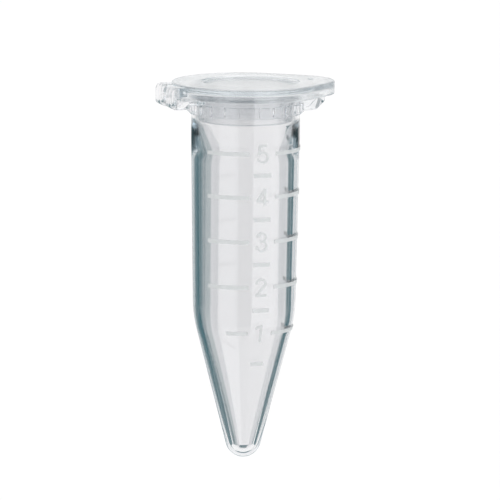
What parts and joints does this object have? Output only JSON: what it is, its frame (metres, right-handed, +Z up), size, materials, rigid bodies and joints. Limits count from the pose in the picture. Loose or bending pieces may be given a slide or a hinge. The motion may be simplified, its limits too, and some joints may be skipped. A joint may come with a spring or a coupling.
{
  "type": "microcentrifuge tube",
  "caption": "Clear 5 mL snap-cap microcentrifuge tube: tapered graduated tube with a ribbed collar, a plug-sealing lid with a thumb lip, and a folded two-strap hinge that opens it",
  "frame": {"origin": "on the tube's axis, at the underside of its collar, where a rack's top face touches", "axes": "+Z up the axis to the lid, -X toward the hinge, +X toward the thumb lip, -Y the side that the numerals face"},
  "size_m": [0.0276, 0.023, 0.0589],
  "materials": {
    "clear_polypropylene": "clear moulded polypropylene, polished, faint blue-grey tint",
    "frosted_marks": "raised frosted marks of the same clear plastic"
  },
  "bodies": {
    "tube": {"tube_body": "clear_polypropylene", "ribbed_collar": "clear_polypropylene", "thumb_support": "clear_polypropylene", "lower_strap_front": "clear_polypropylene", "lower_strap_rear": "clear_polypropylene", "hinge_film_front": "clear_polypropylene", "hinge_film_rear": "clear_polypropylene", "left_mark_1": "frosted_marks", "right_mark_1": "frosted_marks", "left_mark_2": "frosted_marks", "right_mark_2": "frosted_marks", "left_mark_3": "frosted_marks", "right_mark_3": "frosted_marks", "left_mark_4": "frosted_marks", "right_mark_4": "frosted_marks", "left_mark_5": "frosted_marks", "right_mark_5": "frosted_marks", "half_mark_0_5": "frosted_marks", "half_mark_1_5": "frosted_marks", "half_mark_2_5": "frosted_marks", "half_mark_3_5": "frosted_marks", "half_mark_4_5": "frosted_marks", "numeral_1": "frosted_marks", "numeral_2": "frosted_marks", "numeral_3": "frosted_marks", "numeral_4": "frosted_marks", "numeral_5": "frosted_marks"},
    "lid": {"lid_plate": "clear_polypropylene", "lid_skirt": "clear_polypropylene", "sealing_plug": "clear_polypropylene", "sealing_bead": "clear_polypropylene", "upper_strap_front": "clear_polypropylene", "upper_strap_rear": "clear_polypropylene"}
  },
  "joints": [
    {"name": "lid_hinge", "type": "hinge", "parent": "tube", "child": "lid", "pos_m": [-0.0136, 0, 0.00295], "axis": [0, -1, 0], "range_deg": [0, 175], "deforming": ["hinge_film_front", "hinge_film_rear"]}
  ]
}
